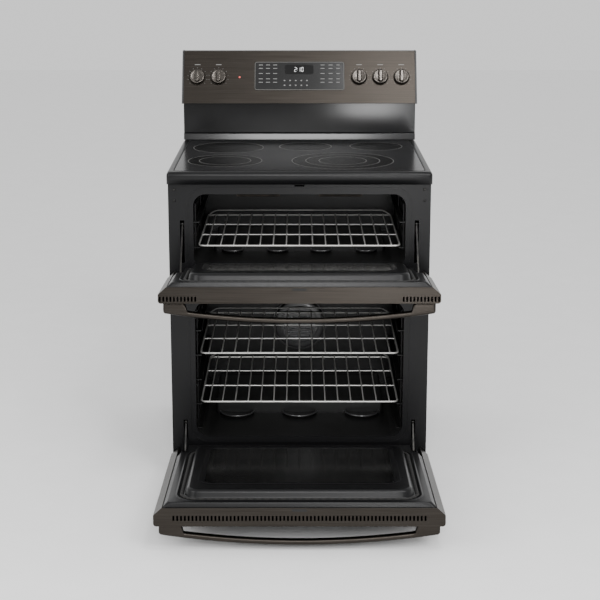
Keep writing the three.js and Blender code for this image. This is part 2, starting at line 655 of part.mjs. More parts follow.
function stayArm(s, side) {
  const a = rad(s.openLean);
  const half = stay.wide / 2;
  const x0 = side * stay.x - stay.thick / 2;
  const x1 = side * stay.x + stay.thick / 2;
  // A point so far down the arm and so far across it.
  const at = (along, across) => [
    stay.pivotY - along * Math.sin(a) + across * Math.cos(a),
    s.pivotZ - along * Math.cos(a) - across * Math.sin(a),
  ];
  const shoulder = s.length - 2 * half;
  const bar = alongX([
    at(0, -half), at(shoulder, -half), at(s.length, -half / 3),
    at(s.length, half / 3), at(shoulder, half), at(0, half),
  ], x0, x1);
  const eye = rod([x0, stay.pivotY, s.pivotZ], [x1, stay.pivotY, s.pivotZ], stay.pin + 4, 14);
  const bore = rod([x0 - 1, stay.pivotY, s.pivotZ], [x1 + 1, stay.pivotY, s.pivotZ], stay.pin + gap, 14);
  return join([bar, eye]).subtract(bore);
}

for (const which of ["upper", "lower"]) {
  const o = ovens[which];
  const d = doors[which];
  const leaf = new THREE.Group();
  leaf.position.set(0, hingeY, d.pivotZ);
  leaf.rotation.x = rad(d.openAngle);
  range.add(leaf);
  node(`${which}_door_skin`, "black_stainless", skin(d), leaf);
  node(`${which}_door_glass`, "black_glass", outerGlass(d), leaf);
  node(`${which}_door_liner`, "porcelain", liner(o, d, stays[which]), leaf);
  node(`${which}_door_window`, "black_glass", windowGlass(o, d), leaf);
  const seal = doorMouth(o, d, gasket.to, door.liner + gap, door.liner + gasket.rise).subtract(
    doorMouth(o, d, gasket.from, 0, 60));
  node(`${which}_door_gasket`, "gasket", seal, leaf);
  node(`${which}_door_handle`, "black_stainless", handleBar(d), leaf);
  for (const [side, word] of [[-1, "left"], [1, "right"]]) {
    node(`${which}_hinge_${word}`, "zinc_steel", hingeBracket(d, side));
    node(`${which}_stay_${word}`, "zinc_steel", stayArm(stays[which], side));
  }
}

// The part's origin is on the floor, under the middle of the range as it stands with its doors open.
range.updateMatrixWorld(true);
const bounds = new THREE.Box3().setFromObject(range);
range.position.y = -(bounds.min.y + bounds.max.y) / 2;

export default range;
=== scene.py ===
import json
import logging
import math
from dataclasses import dataclass
from enum import Enum
from typing import Sequence

import bmesh
import bpy
import numpy as np
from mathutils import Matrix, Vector


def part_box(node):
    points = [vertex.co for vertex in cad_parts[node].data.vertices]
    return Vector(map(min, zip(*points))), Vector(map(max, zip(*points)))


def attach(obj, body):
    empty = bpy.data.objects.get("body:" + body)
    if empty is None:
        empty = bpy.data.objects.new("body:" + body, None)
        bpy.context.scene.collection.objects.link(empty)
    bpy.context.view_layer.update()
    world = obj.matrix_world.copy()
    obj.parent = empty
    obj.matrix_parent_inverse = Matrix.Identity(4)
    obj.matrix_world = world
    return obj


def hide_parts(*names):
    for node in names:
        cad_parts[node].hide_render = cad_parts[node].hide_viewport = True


# Looks of a freestanding electric range with two ovens, a glass cooktop and a sloped control panel.
# Metres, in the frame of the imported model: +Z up, front towards -Y, the doors open at rest.
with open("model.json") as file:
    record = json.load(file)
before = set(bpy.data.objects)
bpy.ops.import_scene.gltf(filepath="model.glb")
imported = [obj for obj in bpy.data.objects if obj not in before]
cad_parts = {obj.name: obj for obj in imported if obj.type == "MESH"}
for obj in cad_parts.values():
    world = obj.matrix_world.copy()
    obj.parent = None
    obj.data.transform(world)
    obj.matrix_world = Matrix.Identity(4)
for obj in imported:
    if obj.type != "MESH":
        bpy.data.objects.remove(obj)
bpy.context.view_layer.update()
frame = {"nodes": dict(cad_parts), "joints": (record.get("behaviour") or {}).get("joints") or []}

MM = 0.001
log = logging.getLogger("range")
Colour = tuple[float, float, float, float]
NODES: dict[str, bpy.types.Object] = frame["nodes"]
JOINTS: dict[str, dict] = {joint["name"]: joint for joint in frame["joints"]}
ROOT = "range_body"


# ---------------------------------------------------------------- finishes
def linear(code: str) -> Colour:
    """Turns an sRGB hex colour to linear light.

    Args:
        code: Six hex digits after a #.

    Returns:
        Red, green, blue and an alpha of 1.
    """
    srgb = np.array([int(code[i:i + 2], 16) for i in (1, 3, 5)]) / 255
    light = np.where(srgb <= 0.04045, srgb / 12.92, ((srgb + 0.055) / 1.055) ** 2.4)
    return (*map(float, light), 1.0)


def add_node(tree: bpy.types.NodeTree, kind: str, settings: dict | None = None,
             links: dict | None = None) -> bpy.types.Node:
    """Adds one node to a tree.

    Args:
        tree: The material's node tree.
        kind: The node's type.
        settings: Values by socket or attribute name; an int key is a socket's place.
        links: Output sockets by the input socket that each one feeds.

    Returns:
        The new node.
    """
    node = tree.nodes.new(kind)
    for key, value in (settings or {}).items():
        if isinstance(key, str) and hasattr(node, key):
            setattr(node, key, value)
        else:
            node.inputs[key].default_value = value
    for key, output in (links or {}).items():
        tree.links.new(output, node.inputs[key])
    return node


@dataclass(frozen=True)
class Finish:
    """A real material and how its surface was made; each kind draws its own detail.

    The base draws one even colour with soft patches, a roughness that wanders and a fine bump.
    """

    name: str
    colour: str
    patch: str
    roughness: float
    metallic: float = 0.0
    ior: float = 1.5
    coat: float = 0.0
    grit: float = 0.6 * MM
    depth: float = 0.02 * MM
    patch_size: float = 120 * MM

    def material(self) -> bpy.types.Material:
        """Gives the finish's material, made once."""
        found = bpy.data.materials.get(self.name)
        return found or self._make()

    def _make(self) -> bpy.types.Material:
        """Builds the node tree: shader, coordinates and then the finish's own detail."""
        made = bpy.data.materials.new(self.name)
        made.use_nodes = True
        tree = made.node_tree
        shader = tree.nodes["Principled BSDF"]
        constants = {"Metallic": self.metallic, "IOR": self.ior, "Coat Weight": self.coat, "Coat Roughness": 0.05}
        for socket, value in constants.items():
            shader.inputs[socket].default_value = value
        place = add_node(tree, "ShaderNodeTexCoord").outputs["Object"]
        self.detail(tree, shader, place)
        return made

    def detail(self, tree: bpy.types.NodeTree, shader: bpy.types.Node, place: bpy.types.NodeSocket) -> None:
        """Draws colour patches, a wandering roughness and a grain of the finish's grit.

        Args:
            tree: The material's node tree.
            shader: Its Principled shader.
            place: Object coordinates, in metres.
        """
        patches = add_node(tree, "ShaderNodeTexNoise", {"Scale": 1 / self.patch_size, "Detail": 3.0}, {"Vector": place})
        self.blend(tree, shader, patches.outputs["Fac"])
        self.wander(tree, shader, patches.outputs["Fac"], self.roughness * 0.85, self.roughness * 1.15)
        grain = add_node(tree, "ShaderNodeTexNoise", {"Scale": 1 / self.grit, "Detail": 2.0}, {"Vector": place})
        self.bump(tree, shader, grain.outputs["Fac"], 0.35)

    def blend(self, tree: bpy.types.NodeTree, shader: bpy.types.Node, share: bpy.types.NodeSocket) -> None:
        """Mixes the finish's two colours by a share and feeds the shader's colour."""
        ramp = add_node(tree, "ShaderNodeValToRGB", links={"Fac": share})
        low, high = ramp.color_ramp.elements
        low.position, low.color = 0.35, linear(self.colour)
        high.position, high.color = 0.7, linear(self.patch)
        tree.links.new(ramp.outputs["Color"], shader.inputs["Base Color"])

    def wander(self, tree: bpy.types.NodeTree, shader: bpy.types.Node, share: bpy.types.NodeSocket,
               low: float, high: float) -> None:
        """Maps a share to a roughness between low and high."""
        spread = add_node(tree, "ShaderNodeMapRange", {"To Min": low, "To Max": high}, {"Value": share})
        tree.links.new(spread.outputs["Result"], shader.inputs["Roughness"])

    def bump(self, tree: bpy.types.NodeTree, shader: bpy.types.Node, height: bpy.types.NodeSocket,
             strength: float) -> None:
        """Feeds a height through a bump of the finish's depth."""
        made = add_node(tree, "ShaderNodeBump", {"Strength": strength, "Distance": self.depth}, {"Height": height})
        tree.links.new(made.outputs["Normal"], shader.inputs["Normal"])


@dataclass(frozen=True)
class BrushedSteel(Finish):
    """Black stainless steel, rolled, brushed along the width and tinted: fine long streaks of light.

    The brush lines are 0.7 mm apart where real ones are 0.1 mm, so that they show.
    """

    line: float = 0.7 * MM
    length: float = 160 * MM

    def detail(self, tree: bpy.types.NodeTree, shader: bpy.types.Node, place: bpy.types.NodeSocket) -> None:
        """Draws noise stretched along x for streaks in colour, roughness and height."""
        stretch = add_node(tree, "ShaderNodeMapping", {"Scale": (1 / self.length, 1 / self.line, 1 / self.line)},
                           {"Vector": place})
        streaks = add_node(tree, "ShaderNodeTexNoise", {"Scale": 1.0, "Detail": 4.0, "Roughness": 0.6},
                           {"Vector": stretch.outputs["Vector"]})
        self.blend(tree, shader, streaks.outputs["Fac"])
        self.wander(tree, shader, streaks.outputs["Fac"], self.roughness - 0.07, self.roughness + 0.09)
        self.bump(tree, shader, streaks.outputs["Fac"], 0.25)


@dataclass(frozen=True)
class SpeckledEnamel(Finish):
    """Porcelain enamel, sprayed and fired: a glassy skin, tiny pale specks and a slight orange peel."""

    speck: float = 1.6 * MM
    peel: float = 5 * MM

    def detail(self, tree: bpy.types.NodeTree, shader: bpy.types.Node, place: bpy.types.NodeSocket) -> None:
        """Draws specks from the heart of small cells, and the peel as soft noise."""
        cells = add_node(tree, "ShaderNodeTexVoronoi", {"Scale": 1 / self.speck, "Randomness": 1.0}, {"Vector": place})
        near = add_node(tree, "ShaderNodeMapRange", {"From Min": 0.10, "From Max": 0.24, "To Min": 0.9, "To Max": 0.3},
                        {"Value": cells.outputs["Distance"]})
        self.blend(tree, shader, near.outputs["Result"])
        soft = add_node(tree, "ShaderNodeTexNoise", {"Scale": 1 / self.peel, "Detail": 2.0}, {"Vector": place})
        self.wander(tree, shader, soft.outputs["Fac"], self.roughness * 0.8, self.roughness * 1.25)
        self.bump(tree, shader, soft.outputs["Fac"], 0.3)


@dataclass(frozen=True)
class WovenSleeve(Finish):
    """Glass fibre sleeve, knitted round a wire core: two crossing sets of ribs.

    The ribs lie 2 pi times `rib` apart, about 15 mm, where a real knit has them a few millimetres apart.
    The wave texture's phase grows by `wave_rate` radians a unit.
    """

    rib: float = 2.4 * MM
    wave_rate: float = 20.0

    def detail(self, tree: bpy.types.NodeTree, shader: bpy.types.Node, place: bpy.types.NodeSocket) -> None:
        """Draws two diagonal waves and keeps the higher of them."""
        heights = []
        for turn in (math.pi / 4, -math.pi / 4):
            turned = add_node(tree, "ShaderNodeMapping", {"Rotation": (0.0, 0.0, turn)}, {"Vector": place})
            scale = 1 / self.rib / self.wave_rate
            wave = add_node(tree, "ShaderNodeTexWave", {"Scale": scale, "Distortion": 0.4},
                            {"Vector": turned.outputs["Vector"]})
            heights.append(wave.outputs["Fac"])
        woven = add_node(tree, "ShaderNodeMath", {"operation": "MAXIMUM"}, dict(enumerate(heights)))
        self.blend(tree, shader, woven.outputs["Value"])
        self.wander(tree, shader, woven.outputs["Value"], self.roughness, self.roughness)
        self.bump(tree, shader, woven.outputs["Value"], 0.8)


@dataclass(frozen=True)
class PrintedGlass(Finish):
    """Black glass ceramic, rolled and polished, with ring marks printed in grey enamel.

    A mark shows where a point's distance from a heater's centre is within half a line of its radius.
    """

    rings: tuple[tuple[float, float, float], ...] = ()
    level: float = 0.0
    line: float = 1.8 * MM
    print_colour: str = "#6c6c6a"

    def detail(self, tree: bpy.types.NodeTree, shader: bpy.types.Node, place: bpy.types.NodeSocket) -> None:
        """Draws the rings and the darker disc inside each one."""
        flat = add_node(tree, "ShaderNodeVectorMath", {"operation": "MULTIPLY", 1: (1.0, 1.0, 0.0)}, {0: place})
        marks: list[bpy.types.NodeSocket] = []
        discs: list[bpy.types.NodeSocket] = []
        for x, y, radius in self.rings:
            away = add_node(tree, "ShaderNodeVectorMath", {"operation": "DISTANCE", 1: (x, y, 0.0)},
                            {0: flat.outputs["Vector"]}).outputs["Value"]
            marks.append(add_node(tree, "ShaderNodeMath", {"operation": "COMPARE", 1: radius, 2: self.line / 2},
                                  {0: away}).outputs["Value"])
            discs.append(add_node(tree, "ShaderNodeMath", {"operation": "LESS_THAN", 1: radius},
                                  {0: away}).outputs["Value"])
        ring, disc = self.most(tree, marks), self.most(tree, discs)
        body = add_node(tree, "ShaderNodeMix", {"data_type": "RGBA", 6: linear(self.colour), 7: linear(self.patch)},
                        {0: disc})
        printed = add_node(tree, "ShaderNodeMix", {"data_type": "RGBA", 7: linear(self.print_colour)},
                           {0: ring, 6: body.outputs[2]})
        tree.links.new(printed.outputs[2], shader.inputs["Base Color"])
        self.wander(tree, shader, ring, self.roughness, 0.35)

    @staticmethod
    def most(tree: bpy.types.NodeTree, shares: list[bpy.types.NodeSocket]) -> bpy.types.NodeSocket:
        """Gives the greatest of several shares."""
        found = shares[0]
        for share in shares[1:]:
            found = add_node(tree, "ShaderNodeMath", {"operation": "MAXIMUM"}, {0: found, 1: share}).outputs["Value"]
        return found


@dataclass(frozen=True)
class Glowing(Finish):
    """A printed or lit mark: flat colour with a little light of its own, which on a printed mark is a painted glow."""

    glow: float = 0.6

    def detail(self, tree: bpy.types.NodeTree, shader: bpy.types.Node, place: bpy.types.NodeSocket) -> None:
        """Draws the base detail and gives the shader its glow."""
        super().detail(tree, shader, place)
        shader.inputs["Emission Color"].default_value = linear(self.patch)
        shader.inputs["Emission Strength"].default_value = self.glow


# Tinted metals take most of their colour from the room; the enamels and glasses are dark and glossy.
STEEL = BrushedSteel("black_stainless_brushed", "#2a2724", "#3e3a36", 0.33, metallic=1.0, depth=0.03 * MM)
KNOB_STEEL = BrushedSteel("black_stainless_spun", "#35322f", "#6c6762", 0.26, metallic=1.0, line=0.5 * MM)
ENAMEL = SpeckledEnamel("porcelain_enamel_fired", "#0e0e0f", "#171718", 0.3, ior=1.3, depth=0.05 * MM)
OVEN_ENAMEL = SpeckledEnamel("porcelain_enamel_oven", "#141414", "#232324", 0.34, ior=1.35, depth=0.05 * MM)
# Painted light: a paler copy of the oven's enamel, standing in for the light that falls on the fan cover, its rings and
# the scoop rims.
PAINTED_LIGHT_ENAMEL = SpeckledEnamel("porcelain_enamel_painted_light", "#353536", "#4a4a4b", 0.3, coat=0.2, depth=0.05 * MM)
GLOSS_PANEL = Finish("back_painted_glass", "#141414", "#19191a", 0.14, ior=1.33, depth=0.01 * MM)
WINDOW = Finish("tinted_oven_glass_float", "#0c0c0c", "#121212", 0.14, ior=1.35, depth=0.005 * MM)
PAINT = Finish("baked_paint_satin", "#1c1c1d", "#222223", 0.42, grit=0.8 * MM)
PLASTIC = Finish("moulded_nylon_black", "#19191a", "#202021", 0.48, grit=0.7 * MM, depth=0.04 * MM)
NICKEL = Finish("nickel_plated_wire", "#b4b3b0", "#c9c8c5", 0.36, metallic=0.45, grit=3 * MM)
ZINC = Finish("zinc_plated_steel_stamped", "#7c7d7e", "#999a9b", 0.42, metallic=1.0, patch_size=14 * MM)
STAY_STEEL = Finish("hardened_steel_dark", "#262626", "#3d3c3a", 0.4, metallic=1.0, patch_size=20 * MM)
SLEEVE = WovenSleeve("glass_fibre_sleeve_knitted", "#0b0b0b", "#1f1e1d", 0.9, depth=0.4 * MM)
HEATER = Finish("oxidised_nickel_sheath", "#2f2b28", "#463f39", 0.55, metallic=0.7, patch_size=30 * MM)
# Painted shade: a near-black sheet laid where an opening would be dark.
SHADOW = Finish("painted_shade_latch_recess", "#060606", "#090909", 0.8)
LAMP = Glowing("red_lamp_lens_moulded", "#c2473f", "#e0635a", 0.3, glow=0.3)
# The legends' faint glow is painted light on grey print.
MARKS = Glowing("legend_print_grey_painted_glow", "#6c6c6a", "#7a7a78", 0.5, glow=0.02)
DIGITS = Glowing("display_digit_white", "#dedede", "#f2f2f2", 0.5, glow=0.7)
DISPLAY = Finish("display_glass_polished", "#141414", "#191919", 0.2, ior=1.4, depth=0.005 * MM)
BORDER = Finish("display_border_print", "#5f5e5a", "#6b6a66", 0.4)


# ---------------------------------------------------------------- surfaces
@dataclass
class Shell:
    """Points and four-cornered faces of one surface."""

    points: np.ndarray
    faces: np.ndarray

    def outward(self) -> "Shell":
        """Turns a closed shell's faces out: reversed where its signed volume is below nothing."""
        a, b, c, d = (self.points[self.faces[:, i]] for i in range(4))
        volume = (a * np.cross(b, c)).sum() + (a * np.cross(c, d)).sum()
        return self if volume >= 0 else Shell(self.points, self.faces[:, ::-1])


def grid_shell(grid: np.ndarray, wrap: bool = True, capped: bool = False, looped: bool = False) -> Shell:
    """Joins each point of a grid with the next in its row and in the next row.

    Args:
        grid: Points as (rows, columns, 3).
        wrap: Whether the last column meets the first.
        capped: Whether each end row is drawn together to its own middle point.
        looped: Whether the last row meets the first.

    Returns:
        The surface, with the columns' order kept.
    """
    if capped:
        ends = grid[[0, -1]].mean(1, keepdims=True).repeat(grid.shape[1], 1)
        grid = np.concatenate([ends[:1], grid, ends[1:]])
    rows, columns = grid.shape[:2]
    r = np.arange(rows if looped else rows - 1)[:, None]
    c = np.arange(columns if wrap else columns - 1)[None, :]
    after, beside = (r + 1) % rows, (c + 1) % columns
    corners = (r * columns + c, r * columns + beside, after * columns + beside, after * columns + c)
    faces = np.stack(corners, -1).reshape(-1, 4)
    return Shell(grid.reshape(-1, 3), faces)


def filleted(points: Sequence, reach: float, steps: int = 5) -> np.ndarray:
    """Rounds the inner corners of a line of points of any dimension.

    Each corner p gives way to the curve (1-t)^2 a + 2t(1-t) p + t^2 c, where a and c lie `reach`
    before and after it, or half the way to the neighbour where that is nearer.
    """
    p = np.asarray(points, float)
    before, after = p[:-2] - p[1:-1], p[2:] - p[1:-1]
    far = [np.linalg.norm(v, axis=1, keepdims=True) for v in (before, after)]
    a, c = (p[1:-1] + v / length * np.minimum(reach, length / 2) for v, length in zip((before, after), far))
    t = np.linspace(0, 1, steps)[None, :, None]
    curve = (1 - t) ** 2 * a[:, None] + 2 * t * (1 - t) * p[1:-1][:, None] + t ** 2 * c[:, None]
    return np.concatenate([p[:1], curve.reshape(-1, p.shape[1]), p[-1:]])


def loft(rows: Sequence, order: tuple[int, int, int] = (0, 2, 1), on_arc: int = 9, on_side: int = 14) -> np.ndarray:
    """Draws a rounded rectangle for each row and stacks them.

    A row is (a0, a1, b0, b1, corner, station): quarter circles of the corner's radius stand at the four
    corners of the box a0..a1 by b0..b1 and straight sides join them, all at the station.

    Args:
        rows: The rectangles, in order.
        order: Which of (a, b, station) goes to x, y and z.
        on_arc: Points on a corner.
        on_side: Points inside a side.

    Returns:
        A grid of points, one rectangle a row.
    """
    a0, a1, b0, b1, corner, station = np.asarray(rows, float).T[..., None]
    middle_a = np.concatenate([a1 - corner, a1 - corner, a0 + corner, a0 + corner], 1)
    middle_b = np.concatenate([b0 + corner, b1 - corner, b1 - corner, b0 + corner], 1)
    angle = np.radians([-90, 0, 90, 180])[:, None] + np.linspace(0, math.pi / 2, on_arc)[None, :]
    turn = np.stack([np.cos(angle), np.sin(angle)], -1)
    arcs = np.stack([middle_a, middle_b], -1)[:, :, None] + corner[:, :, None, None] * turn[None]
    share = np.linspace(0, 1, on_side + 2)[1:-1][:, None]
    following = np.roll(arcs, -1, 1)[:, :, :1]
    outline = np.concatenate([arcs, arcs[:, :, -1:] * (1 - share) + following * share], 2)
    outline = outline.reshape(len(a0), -1, 2)
    placed = np.concatenate([outline, np.broadcast_to(station[..., None], outline[..., :1].shape)], -1)
    return placed[..., list(order)]


def tube(path: np.ndarray, radius: float, side: Sequence[float], sides: int = 8, looped: bool = False,
         squash: float = 1.0) -> Shell:
    """Carries a circle along a path that lies in one plane.

    At each point the circle spans `side`, which is square to the plane, and the tangent's cross
    product with it; squash scales it along `side`.
    """
    ahead = np.roll(path, -1, 0) - np.roll(path, 1, 0) if looped else np.gradient(path, axis=0)
    ahead = ahead / np.linalg.norm(ahead, axis=1, keepdims=True)
    across = np.asarray(side, float)
    other = np.cross(across, ahead)
    angle = np.linspace(0, 2 * math.pi, sides, endpoint=False)[None, :, None]
    ring = path[:, None] + radius * (np.cos(angle) * other[:, None] + squash * np.sin(angle) * across)
    return grid_shell(ring, capped=not looped, looped=looped).outward()


def turned(profile: Sequence, around: int = 40, ripple: float = 0.0, flutes: int = 0) -> np.ndarray:
    """Turns a (radius, height) profile about the third axis.

    The radius at angle w is r (1 + ripple cos(flutes w)).
    """
    p = np.asarray(profile, float)
    w = np.linspace(0, 2 * math.pi, around, endpoint=False)[None, :]
    r = p[:, :1] * (1 + ripple * np.cos(flutes * w))
    return np.stack([r * np.cos(w), r * np.sin(w), np.broadcast_to(p[:, 1:], r.shape)], -1)


def plate(x0: float, x1: float, z0: float, z1: float, y0: float, y1: float) -> Shell:
    """A thin label or bar as a closed box of six faces with a slightly rounded outline."""
    corner = min(x1 - x0, z1 - z0) * 0.2
    rows = [(x0, x1, z0, z1, corner, y0), (x0, x1, z0, z1, corner, y1)]
    return grid_shell(loft(rows, on_arc=3, on_side=0), capped=True).outward()


class Edge(Enum):
    """How sharp an edge stays where two faces meet, in degrees."""

    SOFT = 60
    PRESSED = 35


def piece(name: str, shells: Sequence[Shell], finish: Finish, body: str,
          replaces: Sequence[str] = (), wall: float = 0.0, edge: Edge = Edge.PRESSED) -> bpy.types.Object:
    """Makes one object from surfaces, dresses it and rides it on a body.

    Args:
        name: The piece's name.
        shells: Its surfaces, in the row frame.
        finish: Its finish.
        body: The CAD body that it moves with.
        replaces: CAD nodes that it stands for.
        wall: Thickness given to an open surface, shared between its two sides.
        edge: The angle past which an edge is drawn sharp.

    Returns:
        The object, at the origin.
    """
    starts = np.cumsum([0] + [len(s.points) for s in shells[:-1]])
    points = np.concatenate([s.points for s in shells])
    faces = np.concatenate([s.faces + start for s, start in zip(shells, starts)])
    mesh = bpy.data.meshes.new(name)
    mesh.from_pydata(points.tolist(), [], faces.tolist())
    welded = bmesh.new()
    welded.from_mesh(mesh)
    bmesh.ops.remove_doubles(welded, verts=welded.verts, dist=1e-6)
    bmesh.ops.dissolve_degenerate(welded, edges=welded.edges, dist=1e-7)
    welded.to_mesh(mesh)
    welded.free()
    mesh.polygons.foreach_set("use_smooth", [True] * len(mesh.polygons))
    mesh.set_sharp_from_angle(angle=math.radians(edge.value))
    made = bpy.data.objects.new(name, mesh)
    bpy.context.scene.collection.objects.link(made)
    mesh.materials.append(finish.material())
    if wall:
        solid = made.modifiers.new("wall", "SOLIDIFY")
        solid.thickness, solid.offset = wall, 0.0
    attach(made, body)
    if replaces:
        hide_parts(*replaces)
    log.info("%s: %d points on %s", name, len(mesh.vertices), body)
    return made


def dress(node: str, finish: Finish, round_edge: float = 0.0) -> None:
    """Gives a CAD node its finish, and its pressed or folded edges a small radius.

    Args:
        node: The CAD node.
        finish: Its finish.
        round_edge: The edges' radius, or nothing to leave them.
    """
    shown = NODES[node]
    shown.data.materials.clear()
    shown.data.materials.append(finish.material())
    if round_edge:
        shown.data.polygons.foreach_set("use_smooth", [True] * len(shown.data.polygons))
        weld = shown.modifiers.new("weld", "WELD")
        weld.merge_threshold = 1e-5
        bevel = shown.modifiers.new("rounded edges", "BEVEL")
        bevel.width, bevel.segments, bevel.limit_method = round_edge, 2, "ANGLE"
        bevel.angle_limit = math.radians(35)
        bevel.use_clamp_overlap = True
        even = shown.modifiers.new("even shading", "WEIGHTED_NORMAL")
        even.keep_sharp = True
    log.info("%s: %s", node, finish.name)


# ---------------------------------------------------------------- cabinet and cooktop
FRAME_SHEET = 2.3 * MM


def frame_face() -> float:
    """Gives where the front frame's flat face lies: its sheet and a gap ahead of the side panels."""
    low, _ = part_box("side_panel_left")
    return low.y - FRAME_SHEET


@dataclass
class Cabinet:
    """The painted outside, the enamelled front and the feet."""

    fold: float = 1.0 * MM
    screw_radius: float = 4.5 * MM
    screw_rise: float = 1.8 * MM
    screw_sunk: float = 0.3 * MM
    screw_inset: float = 18 * MM
    screws_below: tuple[float, ...] = (18 * MM, 50 * MM, 330 * MM)

    def build(self) -> None:
        """Dresses the cabinet's nodes and adds the screws of the front frame."""
        for node in ("side_panel_left", "side_panel_right"):
            dress(node, PAINT, 0.5 * MM)
        dress("front_frame", ENAMEL, 0.6 * MM)
        dress("back_panel", ZINC)
        dress("terminal_cover", ZINC, self.fold)
        dress("base_frame", PLASTIC, 0.5 * MM)
        dress("fan_motor", ZINC, self.fold)
        for node in ("foot_front_left", "foot_front_right", "foot_rear_left", "foot_rear_right"):
            dress(node, PLASTIC, self.fold)
        self.screws()

    def screws(self) -> None:
        """Adds round-headed screws down both sides of the frame."""
        low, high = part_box("front_frame")
        face = frame_face()
        middle = (low.x + high.x) / 2
        out = (high.x - low.x) / 2 - self.screw_inset
        heights = [high.z - below for below in self.screws_below]
        r, rise, sunk = self.screw_radius, self.screw_rise, self.screw_sunk
        profile = filleted([(0, rise), (r * 0.7, rise), (r, sunk), (r, -sunk), (0, -sunk)], 1 * MM)
        dome = turned(profile, 20)[..., [0, 2, 1]] * (1, -1, 1)
        heads = [grid_shell(dome + (middle + side * out, face, z)).outward() for side in (-1, 1) for z in heights]
        piece("frame_screws", heads, STAY_STEEL, ROOT)


@dataclass(frozen=True)
class Mouth:
    """An oven's opening: its sides, sill, head and corner radius."""

    x0: float
    x1: float
    z0: float
    z1: float
    corner: float


MOUTH_CORNER = 36 * MM
CAVITY_FLANGE = 12 * MM


def oven_mouth(which: str) -> Mouth:
    """Finds an oven's opening, inside the flange all round its cavity."""
    low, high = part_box(f"{which}_oven_cavity")
    f = CAVITY_FLANGE
    return Mouth(low.x + f, high.x - f, low.z + f, high.z - f, MOUTH_CORNER)


@dataclass
class OvenMouth:
    """The rolled bead round an oven's opening, half sunk in the front frame."""

    which: str
    from_mouth: float = 17.5 * MM
    rise: float = 1.2 * MM

    def build(self) -> None:
        """Carries a circle round the opening, a constant way outside it."""
        m, grow = oven_mouth(self.which), self.from_mouth
        row = (m.x0 - grow, m.x1 + grow, m.z0 - grow, m.z1 + grow, m.corner + grow, frame_face())
        path = loft([row], on_arc=14, on_side=6)[0]
        shell = tube(path, self.rise, (0, 1, 0), 12, looped=True)
        piece(f"{self.which}_mouth_bead", [shell], ENAMEL, ROOT)


@dataclass
class Cooktop:
    """The enamelled rim and the printed glass."""

    round_over: float = 7 * MM
    wall: float = 1.2 * MM

    def rim(self) -> None:
        """Draws the rim as nested rounded rectangles: up its wall, over its edge and down to the glass."""
        low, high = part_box("cooktop_frame")
        g_low, g_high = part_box("cooktop_glass")
        inset = self.wall / 2

        def outline(share: float, corner: float, z: float) -> tuple[float, ...]:
            """Gives the loft row that lies a share of the way from the rim's outside to the glass."""
            outside = (low.x + inset, high.x - inset, low.y + inset, high.y - inset)
            inside = (g_low.x, g_high.x, g_low.y, g_high.y)
            return (*(p + (q - p) * share for p, q in zip(outside, inside)), corner, z)

        top = high.z - inset
        rows = [outline(0, 10 * MM, low.z), outline(0, 10 * MM, top - 6 * MM), outline(0.25, 12 * MM, top),
                outline(0.8, 11 * MM, top), outline(0.97, 10 * MM, top - 0.8 * MM),
                outline(0.98, 10 * MM, top - 5 * MM)]
        grid = loft(filleted(rows, self.round_over, 7), (0, 1, 2), on_arc=8, on_side=20)
        piece("cooktop_rim", [grid_shell(grid)], ENAMEL, ROOT, ["cooktop_frame"], self.wall)

    def build(self) -> None:
        """Dresses the cooktop; ring marks stand over the heaters."""
        self.rim()
        rings: list[tuple[float, float, float]] = []
        shares = {"element_front_left": (1.0, 0.7), "element_front_right": (1.0, 0.73, 0.47)}
        for node in (n for n in NODES if n.startswith("element_")):
            low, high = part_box(node)
            radius = (high.x - low.x) / 2
            middle = (low + high) / 2
            rings += [(middle.x, middle.y, radius * share) for share in shares.get(node, (1.0,))]
            dress(node, HEATER)
        finish = PrintedGlass("glass_ceramic_printed", "#1f1f20", "#070707", 0.2, ior=1.22, rings=tuple(rings))
        dress("cooktop_glass", finish, 0.8 * MM)


# ---------------------------------------------------------------- ovens
@dataclass
class Rack:
    """A plated wire rack: a rounded frame, long wires bent over its front bar and a raised rear bar."""

    node: str
    body: str
    pitch: float = 38 * MM
    rail: float = 2.6 * MM
    wire: float = 1.9 * MM
    corner: float = 16 * MM
    wires_above: float = 3.4 * MM
    over_front: float = 2.2 * MM
    cross_bars: tuple[float, ...] = (0.34, 0.67)
    lift: float = 16 * MM
    lift_inset: float = 24 * MM

    def build(self) -> None:
        """Works the wires out from the CAD rack's box and joins them in one piece."""
        low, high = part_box(self.node)
        half = (high.x - low.x) / 2 - self.rail
        front, back = low.y + self.rail, high.y - self.wire
        level = low.z + self.rail
        top = level + self.wires_above
        across, up, along = (1, 0, 0), (0, 0, 1), (0, 1, 0)
        outline = loft([(-half, half, front, back, self.corner, level)], (0, 1, 2), on_arc=6, on_side=4)[0]
        wires = [tube(outline, self.rail, up, looped=True)]
        reach = int(half / self.pitch)
        ahead = front - self.over_front
        bend = filleted([(ahead, level - 1 * MM), (ahead, top), (back, top)], 6 * MM)
        flat = np.concatenate([np.zeros((len(bend), 1)), bend], 1)
        wires += [tube(flat + (x, 0, 0), self.wire, across) for x in np.arange(-reach, reach + 1) * self.pitch]
        for share in self.cross_bars:
            y = front + (back - front) * share
            wires.append(tube(np.array([(-half, y, level), (0, y, level), (half, y, level)]), self.wire, up))
        stop = half - self.lift_inset
        raised = filleted([(-half, back, level), (-stop, back, level + self.lift), (stop, back, level + self.lift),
                           (half, back, level)], 12 * MM)
        wires.append(tube(raised, self.wire, along))
        piece(self.node + "_wires", wires, NICKEL, self.body, [self.node])


